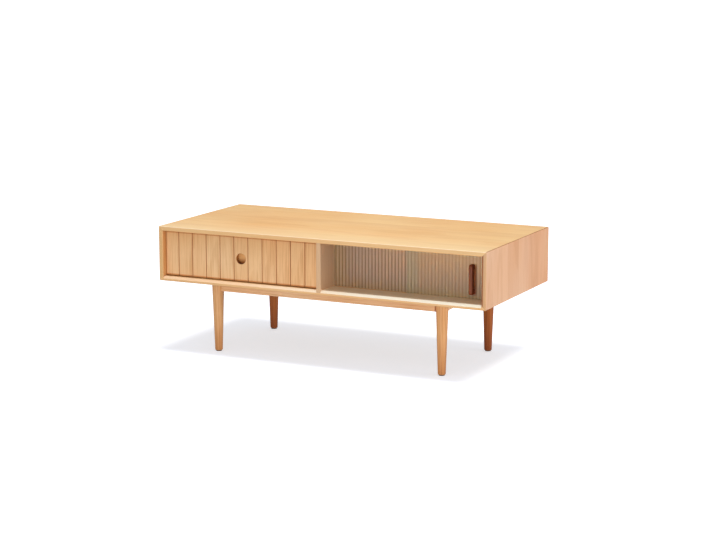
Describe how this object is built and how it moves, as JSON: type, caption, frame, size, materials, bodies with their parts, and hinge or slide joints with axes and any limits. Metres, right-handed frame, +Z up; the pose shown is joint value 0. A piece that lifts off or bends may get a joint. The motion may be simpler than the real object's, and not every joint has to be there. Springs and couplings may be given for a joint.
{
  "type": "coffee table",
  "caption": "Low oak coffee table with a mitred casing, a planked drawer with a finger pull, sliding reeded glass over an open bay, and turned tapered legs.",
  "frame": {"origin": "on the floor, under the middle of the table", "axes": "+Z up; +X along the length, towards the glass bay; the drawer and the glass face -Y"},
  "size_m": [1.2, 0.56, 0.432],
  "materials": {
    "oak_panels": "light oak, oiled, satin",
    "oak_base": "light oak, oiled, satin",
    "oak_planks": "light oak, oiled, satin",
    "drawer_timber": "pale hardwood, sanded",
    "plywood": "birch plywood, sanded",
    "walnut": "dark walnut, oiled",
    "reeded_glass": "reeded, clear",
    "zinc_steel": "zinc plated",
    "nylon": "moulded, matt"
  },
  "bodies": {
    "table": {"top_panel": "oak_panels", "bottom_panel": "oak_panels", "left_side_panel": "oak_panels", "right_side_panel": "oak_panels", "centre_partition": "oak_panels", "back_panel": "oak_panels", "mitre_splines": "plywood", "partition_tongues": "plywood", "front_legs": "oak_base", "back_legs": "oak_base", "front_rail": "oak_base", "back_rail": "oak_base", "left_rail": "oak_base", "right_rail": "oak_base", "corner_blocks": "oak_base", "corner_block_screws": "zinc_steel", "leg_glides": "nylon", "left_runner_cabinet_member": "zinc_steel", "right_runner_cabinet_member": "zinc_steel"},
    "drawer": {"drawer_plank_01": "oak_planks", "drawer_plank_02": "oak_planks", "drawer_plank_03": "oak_planks", "drawer_plank_04": "oak_planks", "drawer_plank_05": "oak_planks", "drawer_plank_06": "oak_planks", "drawer_plank_07": "oak_planks", "drawer_plank_08": "oak_planks", "drawer_plank_09": "oak_planks", "drawer_plank_10": "oak_planks", "drawer_plank_11": "oak_planks", "drawer_front_board": "drawer_timber", "drawer_left_side": "drawer_timber", "drawer_right_side": "drawer_timber", "drawer_back": "drawer_timber", "drawer_bottom": "plywood", "left_runner_drawer_member": "zinc_steel", "right_runner_drawer_member": "zinc_steel"},
    "left_runner_middle": {"left_runner_middle_member": "zinc_steel"},
    "right_runner_middle": {"right_runner_middle_member": "zinc_steel"},
    "left_pane": {"left_glass_pane": "reeded_glass"},
    "right_pane": {"right_glass_pane": "reeded_glass", "pane_handle": "walnut", "handle_screws": "zinc_steel", "handle_washers": "nylon"}
  },
  "joints": [
    {"name": "drawer_slide", "type": "slide", "parent": "table", "child": "drawer", "axis": [0, -1, 0], "range_m": [0, 0.42]},
    {"name": "left_runner_slide", "type": "slide", "parent": "table", "child": "left_runner_middle", "axis": [0, -1, 0], "range_m": [0, 0.21]},
    {"name": "right_runner_slide", "type": "slide", "parent": "table", "child": "right_runner_middle", "axis": [0, -1, 0], "range_m": [0, 0.21]},
    {"name": "right_pane_slide", "type": "slide", "parent": "table", "child": "right_pane", "axis": [-1, 0, 0], "range_m": [0, 0.267]},
    {"name": "left_pane_slide", "type": "slide", "parent": "table", "child": "left_pane", "axis": [1, 0, 0], "range_m": [0, 0.267]}
  ],
  "couplings": [
    {"joint": "left_runner_slide", "follows": "drawer_slide", "ratio": 0.5},
    {"joint": "right_runner_slide", "follows": "drawer_slide", "ratio": 0.5}
  ]
}
